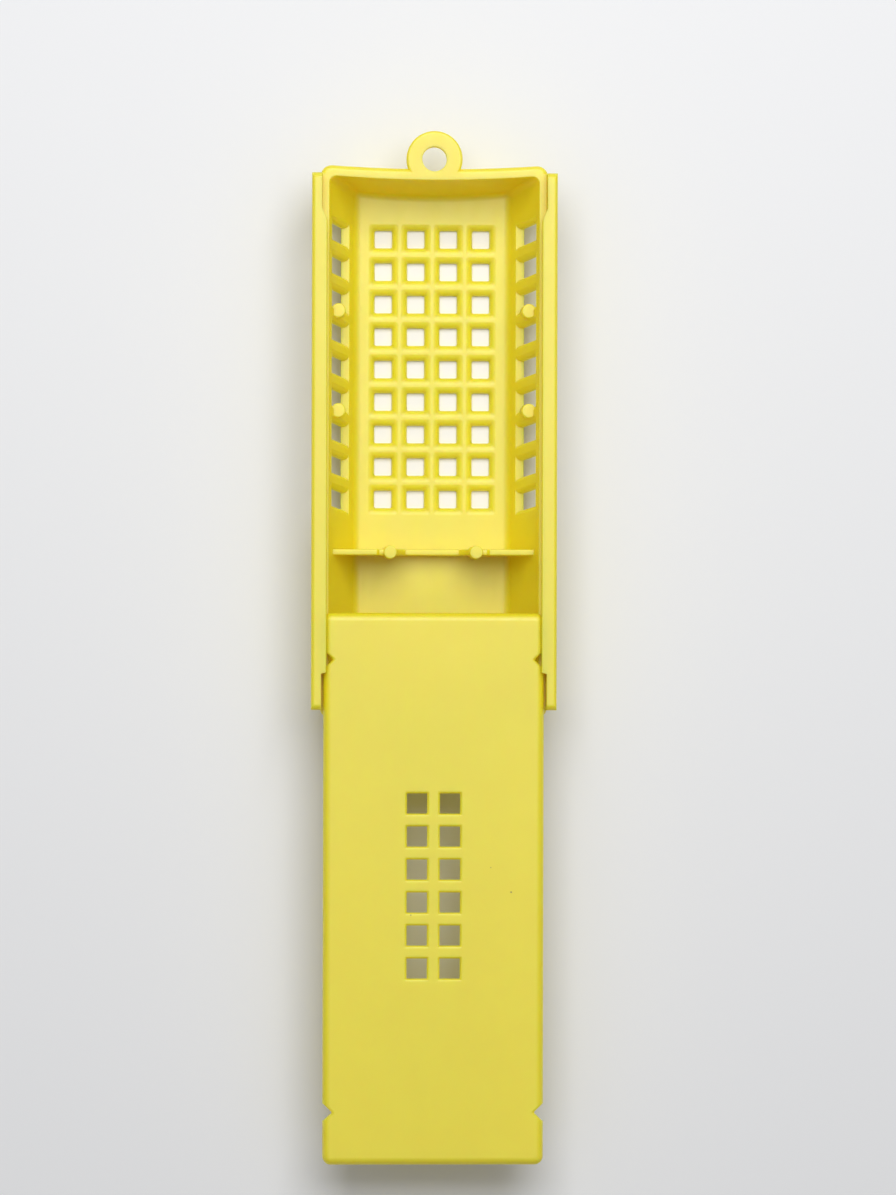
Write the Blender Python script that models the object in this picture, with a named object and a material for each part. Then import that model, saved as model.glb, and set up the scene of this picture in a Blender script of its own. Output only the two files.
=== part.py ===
"""Queen bee cage, in metres, with +Z up.

The cage lies on its grilled floor with its mouth up. X runs across it, Y runs towards its
hanging ring, and the origin is the middle of the tray's underside. Two mouldings make it:
the tray, and the cover that slides along the tray's rails. The cover is drawn out by
COVER_TRAVEL, and its travel is measured from the place where it closes the tray.
"""

import math

import bmesh
import bpy
from mathutils import Vector

# Sizes that the tray and the cover share
TRAY_LENGTH = 0.0842
CAGE_WIDTH = 0.0372
GRILLE_PITCH = 0.0050
RUNNING_GAP = 0.0003
CUT_OVERRUN = 0.0010

# Cover, with its windows and notches set a little towards the ring
COVER_TRAVEL = 0.0678
COVER_LENGTH = 0.0836
COVER_HEIGHT = 0.0021
COVER_PLATE = 0.0011
COVER_SKIRT = 0.0011
COVER_SHOULDER = 0.0012
COVER_CORNER_RADIUS = 0.0013
COVER_PATTERN_SHIFT = 0.00045
COVER_WINDOW = 0.00305
COVER_WINDOW_EASE = 0.0004
COVER_WINDOW_BLOCK = 0.0300
COVER_WINDOW_STRIP = 0.0100
NOTCH_FROM_END = 0.0075
NOTCH_DEPTH = 0.0012
NOTCH_MOUTH = 0.0016

# Rails, with the lips that hold the cover and that slant in from the ring's end
RAIL_WALL = 0.00157
RAIL_SETBACK = 0.0014
RAIL_FOOT_DROP = 0.0014
RAIL_ROUNDING = 0.0006
LIP_REACH = 0.00075
LIP_THICKNESS = 0.0006
LIP_CUTBACK = 0.0055
LIP_LEAD_RING = 0.0018
LIP_LEAD_CANDY = 0.0002
LIP_TRIM_BITE = 0.00005

# Tray shell
RIM_HEIGHT = 0.0120
RIM_BAND = 0.0012
RIM_OVERHANG = 0.0002
RIM_END_WALL = 0.00166
RIM_SIDE_WALL = 0.00125
RIM_CORNER_RADIUS = 0.0016
FLOOR_THICKNESS = 0.0013
FLOOR_WIDTH = 0.0238
FOOT_SIDE_WALL = 0.0008
FOOT_ROUNDING = 0.0006
END_DRAFT = 0.00174
END_BOW = 0.00065
INNER_CORNER_RADIUS = 0.0006

# Floor grille
GRILLE_END_MARGIN = 0.00726
GRILLE_SIDE_MARGIN = 0.0015
GRILLE_TAIL = 0.0070
GRILLE_HOLE = 0.00265
GRILLE_RIB_CREST = 0.0006
GRILLE_STRAIGHT = 0.0003

# Side windows
WINDOW_PITCH = 0.00507
WINDOW_LENGTH = 0.0027
WINDOW_SILL = 0.0036
WINDOW_LINTEL = 0.0012

# Ejector bosses in the side walls, each on the bar after the window that it is counted from
BOSS_RADIUS = 0.0010
BOSS_SET_IN = 0.0007
BOSS_SHIFT = 0.0007
BOSS_DROP = 0.0020
BOSS_BARS = (3, 6)

# Divider between the queen's room and the candy room
CANDY_ROOM = 0.02195
DIVIDER_THICKNESS = 0.0009
DIVIDER_DROP = 0.0018
DIVIDER_DIP = 0.0006
DIVIDER_DIP_LEAN = 0.0004
DOORWAY_SILL = 0.0033
DOORWAY_WIDTH = 0.0082
DOORWAY_LEAN = 0.0014
POST_RADIUS = 0.0010
POST_SPACING = 0.0131
POST_RISE = 0.0002
POST_MARGIN = 0.00065

# Knock-out disc in the candy room's floor
DISC_RADIUS = 0.0049
DISC_DEPTH = 0.0004
DISC_FROM_DIVIDER = 0.0109

# Hanging ring
RING_RADIUS = 0.00427
RING_HOLE_RADIUS = 0.00187
RING_THICKNESS = 0.0018
RING_OUTREACH = 0.00085
RING_ROUNDING = 0.0004

# Two places closer than this are one
SAME_PLACE = 0.0000001

# A step of a pattern that lacks no more than this share of itself still counts
COUNTING_SHARE = 0.001

# Counts
CORNER_STEPS = 4
EDGE_STEPS = 3
ROUND_SIDES = 48
POST_SIDES = 24
BOW_CUTS = 8

# Places worked out from the sizes
MOUTH_LENGTH = TRAY_LENGTH - 2 * RIM_END_WALL
FLOOR_LENGTH = MOUTH_LENGTH - 2 * END_DRAFT
FOOT_LENGTH = TRAY_LENGTH - 2 * END_DRAFT
RAIL_INNER = CAGE_WIDTH / 2 - RAIL_WALL
RIM_WIDTH = 2 * (RAIL_INNER + RIM_OVERHANG)
MOUTH_WIDTH = RIM_WIDTH - 2 * RIM_SIDE_WALL
FOOT_WIDTH = FLOOR_WIDTH + 2 * FOOT_SIDE_WALL
RAIL_LENGTH = TRAY_LENGTH - 2 * RAIL_SETBACK
LIP_LENGTH = RAIL_LENGTH - 2 * LIP_CUTBACK
LIP_EDGE = RAIL_INNER - LIP_REACH
COVER_WIDTH = 2 * (RAIL_INNER - RUNNING_GAP)
COVER_BASE = RIM_HEIGHT + RUNNING_GAP
LIP_UNDERSIDE = COVER_BASE + COVER_HEIGHT
RAIL_TOP = LIP_UNDERSIDE + LIP_THICKNESS
BOSS_TOP = RIM_HEIGHT - BOSS_DROP
DIVIDER_TOP = RIM_HEIGHT - DIVIDER_DROP
DIVIDER_PLACE = CANDY_ROOM - FLOOR_LENGTH / 2
GRILLE_FIRST = FLOOR_LENGTH / 2 - GRILLE_END_MARGIN
GRILLE_HOLE_FLARED = GRILLE_PITCH - GRILLE_RIB_CREST
RING_PLACE = TRAY_LENGTH / 2 + RING_OUTREACH

# Finish of the plastic, shared by both mouldings
PLASTIC_COLOUR = (0.80, 0.66, 0.09, 1.0)
PLASTIC_ROUGHNESS = 0.38

parts = bpy.data.collections.new("queen_bee_cage")
cutters = bpy.data.collections.new("cutters")


def clear_scene():
    """Remove whatever the file opened with, and add the two collections."""
    for thing in list(bpy.data.objects):
        bpy.data.objects.remove(thing, do_unlink=True)
    bpy.context.scene.collection.children.link(parts)
    bpy.context.scene.collection.children.link(cutters)


def plastic(name):
    """The yellow plastic that both mouldings are made of."""
    material = bpy.data.materials.new(name)
    material.use_nodes = True
    shader = material.node_tree.nodes["Principled BSDF"]
    shader.inputs["Base Color"].default_value = PLASTIC_COLOUR
    shader.inputs["Roughness"].default_value = PLASTIC_ROUGHNESS
    shader.inputs["Metallic"].default_value = 0.0
    return material


def add_object(name, bm, collection=cutters):
    """Turn a bmesh into an object, and free the bmesh."""
    bmesh.ops.recalc_face_normals(bm, faces=bm.faces)
    mesh = bpy.data.meshes.new(name)
    bm.to_mesh(mesh)
    bm.free()
    thing = bpy.data.objects.new(name, mesh)
    collection.objects.link(thing)
    if collection is cutters:
        thing.hide_render = True
        thing.display_type = 'WIRE'
    return thing


def boolean(target, tool, operation):
    """Cut, join or intersect the target with a tool object."""
    modifier = target.modifiers.new(tool.name, 'BOOLEAN')
    modifier.operation = operation
    modifier.object = tool


def round_edges(bm, edges, radius, steps):
    """Round the given edges of a bmesh."""
    bmesh.ops.bevel(bm, geom=edges, offset=radius, offset_type='OFFSET', segments=steps,
                    profile=0.5, affect='EDGES', clamp_overlap=True, material=-1)


def upright(edge):
    """Whether an edge leads from one level to another."""
    low, high = (vert.co for vert in edge.verts)
    return abs(high.z - low.z) > abs(high.x - low.x) + abs(high.y - low.y)


def lies_at(edge, level):
    """Whether both ends of an edge lie at one level."""
    return all(abs(vert.co.z - level) < SAME_PLACE for vert in edge.verts)


def tapered_box(low_size, high_size, low, high, bow, corner_radius):
    """A bmesh box whose width and length run from one size to another with height.

    The two end walls are bowed inwards by bow, and the upright corners are rounded.
    """
    bm = bmesh.new()
    bmesh.ops.create_cube(bm, size=2.0)
    if bow:
        across = [edge for edge in bm.edges
                  if edge.verts[0].co.x != edge.verts[1].co.x]
        bmesh.ops.subdivide_edges(bm, edges=across, cuts=BOW_CUTS, use_grid_fill=True)
    for vert in bm.verts:
        share = (vert.co.z + 1) / 2
        half_width = (low_size[0] * (1 - share) + high_size[0] * share) / 2
        half_length = (low_size[1] * (1 - share) + high_size[1] * share) / 2
        half_length -= bow * (1 - vert.co.x ** 2)
        vert.co = Vector((vert.co.x * half_width, vert.co.y * half_length,
                          low * (1 - share) + high * share))
    corners = [edge for edge in bm.edges if upright(edge)
               and all(abs(abs(vert.co.x) - size[0] / 2) < SAME_PLACE
                       for vert, size in zip(sorted(edge.verts, key=lambda v: v.co.z),
                                             (low_size, high_size)))]
    round_edges(bm, corners, corner_radius, CORNER_STEPS)
    return bm


def plain_box(size, centre):
    """A bmesh box of one size."""
    bm = bmesh.new()
    bmesh.ops.create_cube(bm, size=1.0)
    bmesh.ops.scale(bm, vec=Vector(size), verts=bm.verts)
    bmesh.ops.translate(bm, vec=Vector(centre), verts=bm.verts)
    return bm


def add_square(bm, low_side, high_side, low, high, place):
    """Add to a bmesh a square peg whose side runs from one size to another with height."""
    made = bmesh.ops.create_cone(bm, cap_ends=True, segments=4, depth=high - low,
                                 radius1=low_side / math.sqrt(2), radius2=high_side / math.sqrt(2))
    turn = Vector((1, 0, 0)).rotation_difference(Vector((1, 1, 0))).to_matrix()
    bmesh.ops.rotate(bm, verts=made["verts"], matrix=turn)
    bmesh.ops.translate(bm, verts=made["verts"], vec=Vector((*place, (low + high) / 2)))


def add_post(bm, radius, low, high, place, sides=POST_SIDES):
    """Add an upright round post to a bmesh."""
    made = bmesh.ops.create_cone(bm, cap_ends=True, segments=sides, depth=high - low,
                                 radius1=radius, radius2=radius)
    bmesh.ops.translate(bm, verts=made["verts"], vec=Vector((*place, (low + high) / 2)))


def how_many(space, pitch):
    """How many steps of a pitch go into a space."""
    return math.floor(space / pitch + COUNTING_SHARE)


def line_up(count, pitch):
    """Places of a row of count things about zero."""
    return [(index - (count - 1) / 2) * pitch for index in range(count)]


def arc(centre, radius, start, end, steps):
    """Points along an arc, with the angles in degrees."""
    angles = [math.radians(start + (end - start) * step / steps) for step in range(steps + 1)]
    return [(centre[0] + radius * math.cos(angle), centre[1] + radius * math.sin(angle))
            for angle in angles]


def extruded(name, outline, low, high, axis):
    """An outline in two of the axes, extruded along the third, as a cutter object.

    The outline is drawn across and up for axis 'Y', and is stood up from the curve's own
    plane by a quarter turn about X.
    """
    curve = bpy.data.curves.new(name, 'CURVE')
    curve.dimensions = '2D'
    curve.fill_mode = 'BOTH'
    curve.extrude = (high - low) / 2
    spline = curve.splines.new('POLY')
    spline.points.add(len(outline) - 1)
    for point, (across, up) in zip(spline.points, outline):
        point.co = (across, up, 0, 1)
    spline.use_cyclic_u = True
    source = bpy.data.objects.new(name + "_curve", curve)
    cutters.objects.link(source)
    middle = (low + high) / 2
    if axis == 'Y':
        source.rotation_euler = (math.pi / 2, 0, 0)
        source.location = (0, middle, 0)
    else:
        source.location = (0, 0, middle)
    bpy.context.view_layer.update()
    evaluated = source.evaluated_get(bpy.context.evaluated_depsgraph_get())
    mesh = bpy.data.meshes.new_from_object(evaluated)
    bm = bmesh.new()
    bm.from_mesh(mesh)
    bmesh.ops.remove_doubles(bm, verts=bm.verts, dist=SAME_PLACE)
    bmesh.ops.transform(bm, matrix=source.matrix_world, verts=bm.verts)
    bpy.data.objects.remove(source, do_unlink=True)
    bpy.data.meshes.remove(mesh)
    return add_object(name, bm)


def at_level(low_size, high_size, low, high, level):
    """A size that runs evenly with height, at a level in or beyond its two ends."""
    share = (level - low) / (high - low)
    return low_size + (high_size - low_size) * share


def inner_width(level):
    """Width between the side walls at a level."""
    return at_level(FLOOR_WIDTH, MOUTH_WIDTH, FLOOR_THICKNESS, RIM_HEIGHT, level)


def inner_length(level):
    """Length between the end walls at a level."""
    return at_level(FLOOR_LENGTH, MOUTH_LENGTH, FLOOR_THICKNESS, RIM_HEIGHT, level)


def outer_width(level):
    """Width over the side walls at a level."""
    return at_level(FOOT_WIDTH, RIM_WIDTH, 0, RIM_HEIGHT, level)


def outer_length(level):
    """Length over the end walls at a level."""
    return at_level(FOOT_LENGTH, TRAY_LENGTH, 0, RIM_HEIGHT, level)


def shell_outside(top):
    """The tray's outside from its underside to a level, with a rounded foot."""
    bm = tapered_box((FOOT_WIDTH, FOOT_LENGTH), (outer_width(top), outer_length(top)),
                     0, top, END_BOW, RIM_CORNER_RADIUS)
    foot = [edge for edge in bm.edges if lies_at(edge, 0) and len(edge.link_faces) == 2
            and any(abs(face.normal.z) < 0.9 for face in edge.link_faces)]
    round_edges(bm, foot, FOOT_ROUNDING, EDGE_STEPS)
    return bm


def rail_outline(side):
    """Cross-section of one rail, with the lip over its groove."""
    outer = CAGE_WIDTH / 2
    foot = RIM_HEIGHT - RAIL_FOOT_DROP
    top_arc = arc((outer - RAIL_ROUNDING, RAIL_TOP - RAIL_ROUNDING), RAIL_ROUNDING,
                  0, 90, EDGE_STEPS)
    lip_rounding = LIP_THICKNESS / 4
    lip_arc = arc((LIP_EDGE + lip_rounding, RAIL_TOP - lip_rounding), lip_rounding,
                  90, 180, EDGE_STEPS)
    outline = [(outer, foot)] + top_arc + lip_arc
    outline += [(LIP_EDGE, LIP_UNDERSIDE), (RAIL_INNER, LIP_UNDERSIDE), (RAIL_INNER, foot)]
    return [(side * across, up) for across, up in outline]


def lip_trim_outline(side, end, lead):
    """Plan of what is cut from a lip at one end, with a slanting lead towards its tip.

    It bites a little into the rail's wall, so that the lip comes off whole.
    """
    inside = LIP_EDGE - CUT_OVERRUN
    bite = RAIL_INNER + LIP_TRIM_BITE
    slope = lead / LIP_REACH
    beyond = RAIL_LENGTH / 2 + CUT_OVERRUN
    outline = [(inside, LIP_LENGTH / 2 - slope * (RAIL_INNER - inside)),
               (bite, LIP_LENGTH / 2 + slope * LIP_TRIM_BITE), (bite, beyond), (inside, beyond)]
    return [(side * across, end * along) for across, along in outline]


def add_rails(tray):
    """Join both rails to the tray, each with its lip trimmed at both ends."""
    ends = ((-1, LIP_LEAD_CANDY, "candy_end"), (1, LIP_LEAD_RING, "ring_end"))
    for side, word in ((-1, "left"), (1, "right")):
        half = RAIL_LENGTH / 2
        rail = extruded(f"{word}_rail", rail_outline(side), -half, half, 'Y')
        for end, lead, place in ends:
            trim = extruded(f"{word}_{place}_trim", lip_trim_outline(side, end, lead),
                            LIP_UNDERSIDE - CUT_OVERRUN, RAIL_TOP + CUT_OVERRUN, 'Z')
            boolean(rail, trim, 'DIFFERENCE')
        boolean(tray, rail, 'UNION')


def add_ring(tray):
    """Join the flat hanging ring to the middle of the end wall's rim."""
    low = RIM_HEIGHT - RING_THICKNESS
    bm = bmesh.new()
    add_post(bm, RING_RADIUS, low, RIM_HEIGHT, (0, RING_PLACE), ROUND_SIDES)
    rims = [edge for edge in bm.edges if not upright(edge)]
    round_edges(bm, rims, RING_ROUNDING, EDGE_STEPS)
    boolean(tray, add_object("ring_plate", bm), 'UNION')


def ring_hole():
    """The eye of the hanging ring."""
    bm = bmesh.new()
    add_post(bm, RING_HOLE_RADIUS, RIM_HEIGHT - RING_THICKNESS - CUT_OVERRUN,
             RIM_HEIGHT + CUT_OVERRUN, (0, RING_PLACE), ROUND_SIDES)
    return add_object("ring_hole", bm)


def grille_rows():
    """Places of the floor grille's rows along the tray, from the ring's end."""
    count = 1 + how_many(GRILLE_FIRST - DIVIDER_PLACE - GRILLE_TAIL, GRILLE_PITCH)
    return [GRILLE_FIRST - row * GRILLE_PITCH for row in range(count)]


def grille_places():
    """Centres of the floor grille's openings."""
    count = how_many(FLOOR_WIDTH - 2 * GRILLE_SIDE_MARGIN, GRILLE_PITCH)
    return [(across, along) for along in grille_rows() for across in line_up(count, GRILLE_PITCH)]


def cut_grille(tray):
    """Cut the floor's openings, straight below and flared above."""
    straight = bmesh.new()
    flared = bmesh.new()
    slope = (GRILLE_HOLE_FLARED - GRILLE_HOLE) / (FLOOR_THICKNESS - GRILLE_STRAIGHT)
    for place in grille_places():
        add_square(straight, GRILLE_HOLE, GRILLE_HOLE, -CUT_OVERRUN, FLOOR_THICKNESS, place)
        add_square(flared, GRILLE_HOLE, GRILLE_HOLE_FLARED + slope * CUT_OVERRUN,
                   GRILLE_STRAIGHT, FLOOR_THICKNESS + CUT_OVERRUN, place)
    boolean(tray, add_object("grille_holes", straight), 'DIFFERENCE')
    boolean(tray, add_object("grille_flares", flared), 'DIFFERENCE')


def window_places():
    """Places of the side windows along the tray, from the ring's end.

    There is one for each row of the floor grille, and the last one is in line with its row.
    """
    rows = grille_rows()
    return [rows[-1] + (len(rows) - 1 - row) * WINDOW_PITCH for row in range(len(rows))]


def cut_windows(tray):
    """Cut the tall windows through both side walls."""
    bm = bmesh.new()
    top = RIM_HEIGHT - WINDOW_LINTEL
    inside = inner_width(WINDOW_SILL) / 2 - CUT_OVERRUN
    outside = outer_width(top) / 2 + CUT_OVERRUN
    for place in window_places():
        for side in (-1, 1):
            made = bmesh.ops.create_cube(bm, size=1.0)
            bmesh.ops.scale(bm, verts=made["verts"],
                            vec=Vector((outside - inside, WINDOW_LENGTH, top - WINDOW_SILL)))
            centre = Vector((side * (inside + outside) / 2, place, (top + WINDOW_SILL) / 2))
            bmesh.ops.translate(bm, verts=made["verts"], vec=centre)
    boolean(tray, add_object("side_windows", bm), 'DIFFERENCE')


def add_bosses(tray, outside):
    """Join the ejector bosses, kept within the tray's outside."""
    bm = bmesh.new()
    places = window_places()
    across = inner_width(BOSS_TOP) / 2 - BOSS_SET_IN
    for bar in BOSS_BARS:
        if bar < len(places):
            along = (places[bar - 1] + places[bar]) / 2 + BOSS_SHIFT
            for side in (-1, 1):
                add_post(bm, BOSS_RADIUS, WINDOW_SILL, BOSS_TOP, (side * across, along))
    bosses = add_object("bosses", bm)
    boolean(bosses, outside, 'INTERSECT')
    boolean(tray, bosses, 'UNION')


def divider_outline():
    """The divider seen along the cage, with its doorway and its ends in the side walls."""
    foot = FLOOR_THICKNESS / 2
    foot_half = (inner_width(foot) + outer_width(foot)) / 4
    top_half = (inner_width(DIVIDER_TOP) + outer_width(DIVIDER_TOP)) / 4
    sill = FLOOR_THICKNESS + DOORWAY_SILL
    sill_half = DOORWAY_WIDTH / 2
    dip = DIVIDER_TOP - DIVIDER_DIP
    dip_half = POST_SPACING / 2 + POST_RADIUS + POST_MARGIN
    right = [(foot_half, foot), (top_half, DIVIDER_TOP),
             (dip_half + DIVIDER_DIP_LEAN, DIVIDER_TOP), (dip_half, dip),
             (sill_half + DOORWAY_LEAN, dip), (sill_half, sill)]
    return right + [(-across, up) for across, up in reversed(right)]


def add_divider(tray):
    """Join the divider and the two posts beside its doorway."""
    half = DIVIDER_THICKNESS / 2
    wall = extruded("divider", divider_outline(), DIVIDER_PLACE - half, DIVIDER_PLACE + half, 'Y')
    boolean(tray, wall, 'UNION')
    bm = bmesh.new()
    for side in (-1, 1):
        add_post(bm, POST_RADIUS, FLOOR_THICKNESS / 2, DIVIDER_TOP + POST_RISE,
                 (side * POST_SPACING / 2, DIVIDER_PLACE))
    boolean(tray, add_object("divider_posts", bm), 'UNION')


def cut_disc(tray):
    """Sink the knock-out disc into the candy room's floor."""
    bm = bmesh.new()
    add_post(bm, DISC_RADIUS, FLOOR_THICKNESS - DISC_DEPTH, FLOOR_THICKNESS + CUT_OVERRUN,
             (0, DIVIDER_PLACE - DISC_FROM_DIVIDER), ROUND_SIDES)
    boolean(tray, add_object("floor_disc", bm), 'DIFFERENCE')


def make_tray():
    """The tray, with its grilles, rails, ring, divider and bosses, as one moulding."""
    band_middle = RIM_HEIGHT - RIM_BAND / 2
    tray = add_object("tray", shell_outside(band_middle), parts)
    band_size = (RIM_WIDTH, TRAY_LENGTH)
    band = tapered_box(band_size, band_size, RIM_HEIGHT - RIM_BAND, RIM_HEIGHT,
                       END_BOW, RIM_CORNER_RADIUS)
    boolean(tray, add_object("rim_band", band), 'UNION')
    add_ring(tray)
    cavity_top = RIM_HEIGHT + CUT_OVERRUN
    cavity = tapered_box((FLOOR_WIDTH, FLOOR_LENGTH),
                         (inner_width(cavity_top), inner_length(cavity_top)),
                         FLOOR_THICKNESS, cavity_top, END_BOW, INNER_CORNER_RADIUS)
    boolean(tray, add_object("cavity", cavity), 'DIFFERENCE')
    cut_grille(tray)
    cut_windows(tray)
    cut_disc(tray)
    outside = add_object("boss_limit", shell_outside(band_middle))
    add_bosses(tray, outside)
    add_divider(tray)
    add_rails(tray)
    boolean(tray, ring_hole(), 'DIFFERENCE')
    tray.data.materials.append(plastic("tray_plastic"))
    return tray


def cut_cover_windows(cover):
    """Cut the cover's windows, each with an eased upper edge."""
    straight = bmesh.new()
    eased = bmesh.new()
    columns = how_many(COVER_WINDOW_STRIP, GRILLE_PITCH)
    rows = how_many(COVER_WINDOW_BLOCK, GRILLE_PITCH)
    for across in line_up(columns, GRILLE_PITCH):
        for along in line_up(rows, GRILLE_PITCH):
            place = (across, along + COVER_PATTERN_SHIFT)
            add_square(straight, COVER_WINDOW, COVER_WINDOW,
                       -CUT_OVERRUN, COVER_HEIGHT + CUT_OVERRUN, place)
            add_square(eased, COVER_WINDOW, COVER_WINDOW + 2 * (COVER_WINDOW_EASE + CUT_OVERRUN),
                       COVER_HEIGHT - COVER_WINDOW_EASE, COVER_HEIGHT + CUT_OVERRUN, place)
    boolean(cover, add_object("cover_window_holes", straight), 'DIFFERENCE')
    boolean(cover, add_object("cover_window_eases", eased), 'DIFFERENCE')


def cut_notches(cover):
    """Cut the four indexing notches in the cover's long edges."""
    bm = bmesh.new()
    slope = (NOTCH_MOUTH - NOTCH_DEPTH) / COVER_HEIGHT
    low_radius = NOTCH_DEPTH - slope * CUT_OVERRUN
    high_radius = NOTCH_MOUTH + slope * CUT_OVERRUN
    for side in (-1, 1):
        for end in (-1, 1):
            made = bmesh.ops.create_cone(bm, cap_ends=True, segments=4,
                                         depth=COVER_HEIGHT + 2 * CUT_OVERRUN,
                                         radius1=low_radius, radius2=high_radius)
            along = end * (COVER_LENGTH / 2 - NOTCH_FROM_END) + COVER_PATTERN_SHIFT
            place = Vector((side * COVER_WIDTH / 2, along, COVER_HEIGHT / 2))
            bmesh.ops.translate(bm, verts=made["verts"], vec=place)
    boolean(cover, add_object("notches", bm), 'DIFFERENCE')


def make_cover():
    """The sliding cover: a shallow lid with skirts, windows and indexing notches.

    It is modelled about its own origin at the height of its skirts' lower edge, on the
    line along which it slides, and then set in the rails.
    """
    size = (COVER_WIDTH, COVER_LENGTH)
    bm = tapered_box(size, size, 0, COVER_HEIGHT, 0, COVER_CORNER_RADIUS)
    top = [edge for edge in bm.edges if lies_at(edge, COVER_HEIGHT)]
    round_edges(bm, top, COVER_SHOULDER, CORNER_STEPS)
    cover = add_object("sliding_cover", bm, parts)
    hollow_size = (COVER_WIDTH - 2 * COVER_SKIRT, COVER_LENGTH - 2 * COVER_SKIRT,
                   COVER_HEIGHT - COVER_PLATE + CUT_OVERRUN)
    hollow = plain_box(hollow_size, (0, 0, (COVER_HEIGHT - COVER_PLATE - CUT_OVERRUN) / 2))
    boolean(cover, add_object("cover_hollow", hollow), 'DIFFERENCE')
    cut_cover_windows(cover)
    cut_notches(cover)
    cover.data.materials.append(plastic("cover_plastic"))
    seat = bpy.data.objects.new("cover_slide_line", None)
    parts.objects.link(seat)
    seat.location = (0, -COVER_TRAVEL, COVER_BASE)
    for thing in [cover] + [modifier.object for modifier in cover.modifiers]:
        thing.parent = seat
    return cover


def shade(thing):
    """Shade a moulding smooth, with its corners kept sharp."""
    thing.data.shade_smooth()
    thing.data.set_sharp_from_angle(angle=math.radians(30))


clear_scene()
for moulding in (make_tray(), make_cover()):
    shade(moulding)
bpy.context.view_layer.update()
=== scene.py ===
"""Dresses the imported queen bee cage: its two mouldings, their plastic, the table and the studio."""

import logging
import math
from dataclasses import dataclass, field
from enum import Enum
from typing import Iterable, Sequence

import bmesh
import bpy
from mathutils import Euler, Matrix, Vector


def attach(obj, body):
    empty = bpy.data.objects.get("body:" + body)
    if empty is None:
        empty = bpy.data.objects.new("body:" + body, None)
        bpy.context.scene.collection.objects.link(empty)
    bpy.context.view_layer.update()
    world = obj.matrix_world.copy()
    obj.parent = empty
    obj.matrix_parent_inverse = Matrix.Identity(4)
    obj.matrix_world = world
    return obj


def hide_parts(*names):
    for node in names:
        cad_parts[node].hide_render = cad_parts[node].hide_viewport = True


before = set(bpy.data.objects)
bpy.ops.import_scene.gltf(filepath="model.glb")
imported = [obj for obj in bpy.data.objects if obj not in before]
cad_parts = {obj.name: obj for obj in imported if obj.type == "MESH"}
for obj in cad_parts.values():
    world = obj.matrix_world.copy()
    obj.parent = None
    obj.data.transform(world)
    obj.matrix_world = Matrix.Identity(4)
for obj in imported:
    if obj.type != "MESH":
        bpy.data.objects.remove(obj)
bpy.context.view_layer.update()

LOG = logging.getLogger("cage")

Point = tuple[float, float]
Triple = tuple[float, float, float]

OVERRUN = 0.001  # how far a cutting shape reaches past what it cuts
SKIM = 0.0001  # how far an eased opening widens on past its surface
SAME = 1e-7  # two places closer than this count as one
WELD = 2e-6  # points of a finished mesh closer than this are joined
EVEN_WEIGHT = 80  # how much a face's area counts in the smooth shading


class Side(Enum):
    """The two long sides of the cage."""

    LEFT = -1
    RIGHT = 1


class End(Enum):
    """The two ends of the cage."""

    CANDY = -1
    RING = 1


class Joining(Enum):
    """How one solid works on another."""

    ADD = "UNION"
    CUT = "DIFFERENCE"
    SHARE = "INTERSECT"


class Drawn(Enum):
    """How an outline lies before it is drawn out into a solid."""

    PLAN = "across and along the cage, drawn out upwards"
    SECTION = "across the cage and up, drawn out along it"
    SIDE = "along the cage and up, drawn out across it"

    def point(self, one: float, other: float, depth: float) -> Vector:
        """A point of the outline in space.

        Args:
            one: Its first coordinate.
            other: Its second coordinate.
            depth: Its place in the direction in which the outline is drawn out.

        Returns:
            The point.
        """
        if self is Drawn.PLAN:
            return Vector((one, other, depth))
        if self is Drawn.SECTION:
            return Vector((one, depth, other))
        return Vector((depth, one, other))


# Shader graphs


class Wire:
    """One output of a shader node, with arithmetic that adds Math nodes."""

    def __init__(self, graph: "Graph", socket: bpy.types.NodeSocket) -> None:
        """Keep a node's output.

        Args:
            graph: The graph that the output belongs to.
            socket: The output itself.
        """
        self.graph = graph
        self.socket = socket

    def _math(self, operation: str, *values: "Wire | float") -> "Wire":
        """Add a Math node.

        Args:
            operation: The node's operation.
            values: Its inputs, in order.

        Returns:
            The node's output.
        """
        return self.graph.node("ShaderNodeMath", {"operation": operation}, dict(enumerate(values)))

    def __add__(self, other: "Wire | float") -> "Wire":
        """Add."""
        return self._math("ADD", self, other)

    __radd__ = __add__

    def __sub__(self, other: "Wire | float") -> "Wire":
        """Subtract."""
        return self._math("SUBTRACT", self, other)

    def __rsub__(self, other: float) -> "Wire":
        """Subtract from a number."""
        return self._math("SUBTRACT", other, self)

    def __mul__(self, other: "Wire | float") -> "Wire":
        """Multiply."""
        return self._math("MULTIPLY", self, other)

    __rmul__ = __mul__

    def __gt__(self, other: "Wire | float") -> "Wire":
        """One where this is more than the other, and zero elsewhere."""
        return self._math("GREATER_THAN", self, other)

    def held(self) -> "Wire":
        """This value, held between zero and one."""
        return self.graph.node("ShaderNodeClamp", {}, {"Value": self})


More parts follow.
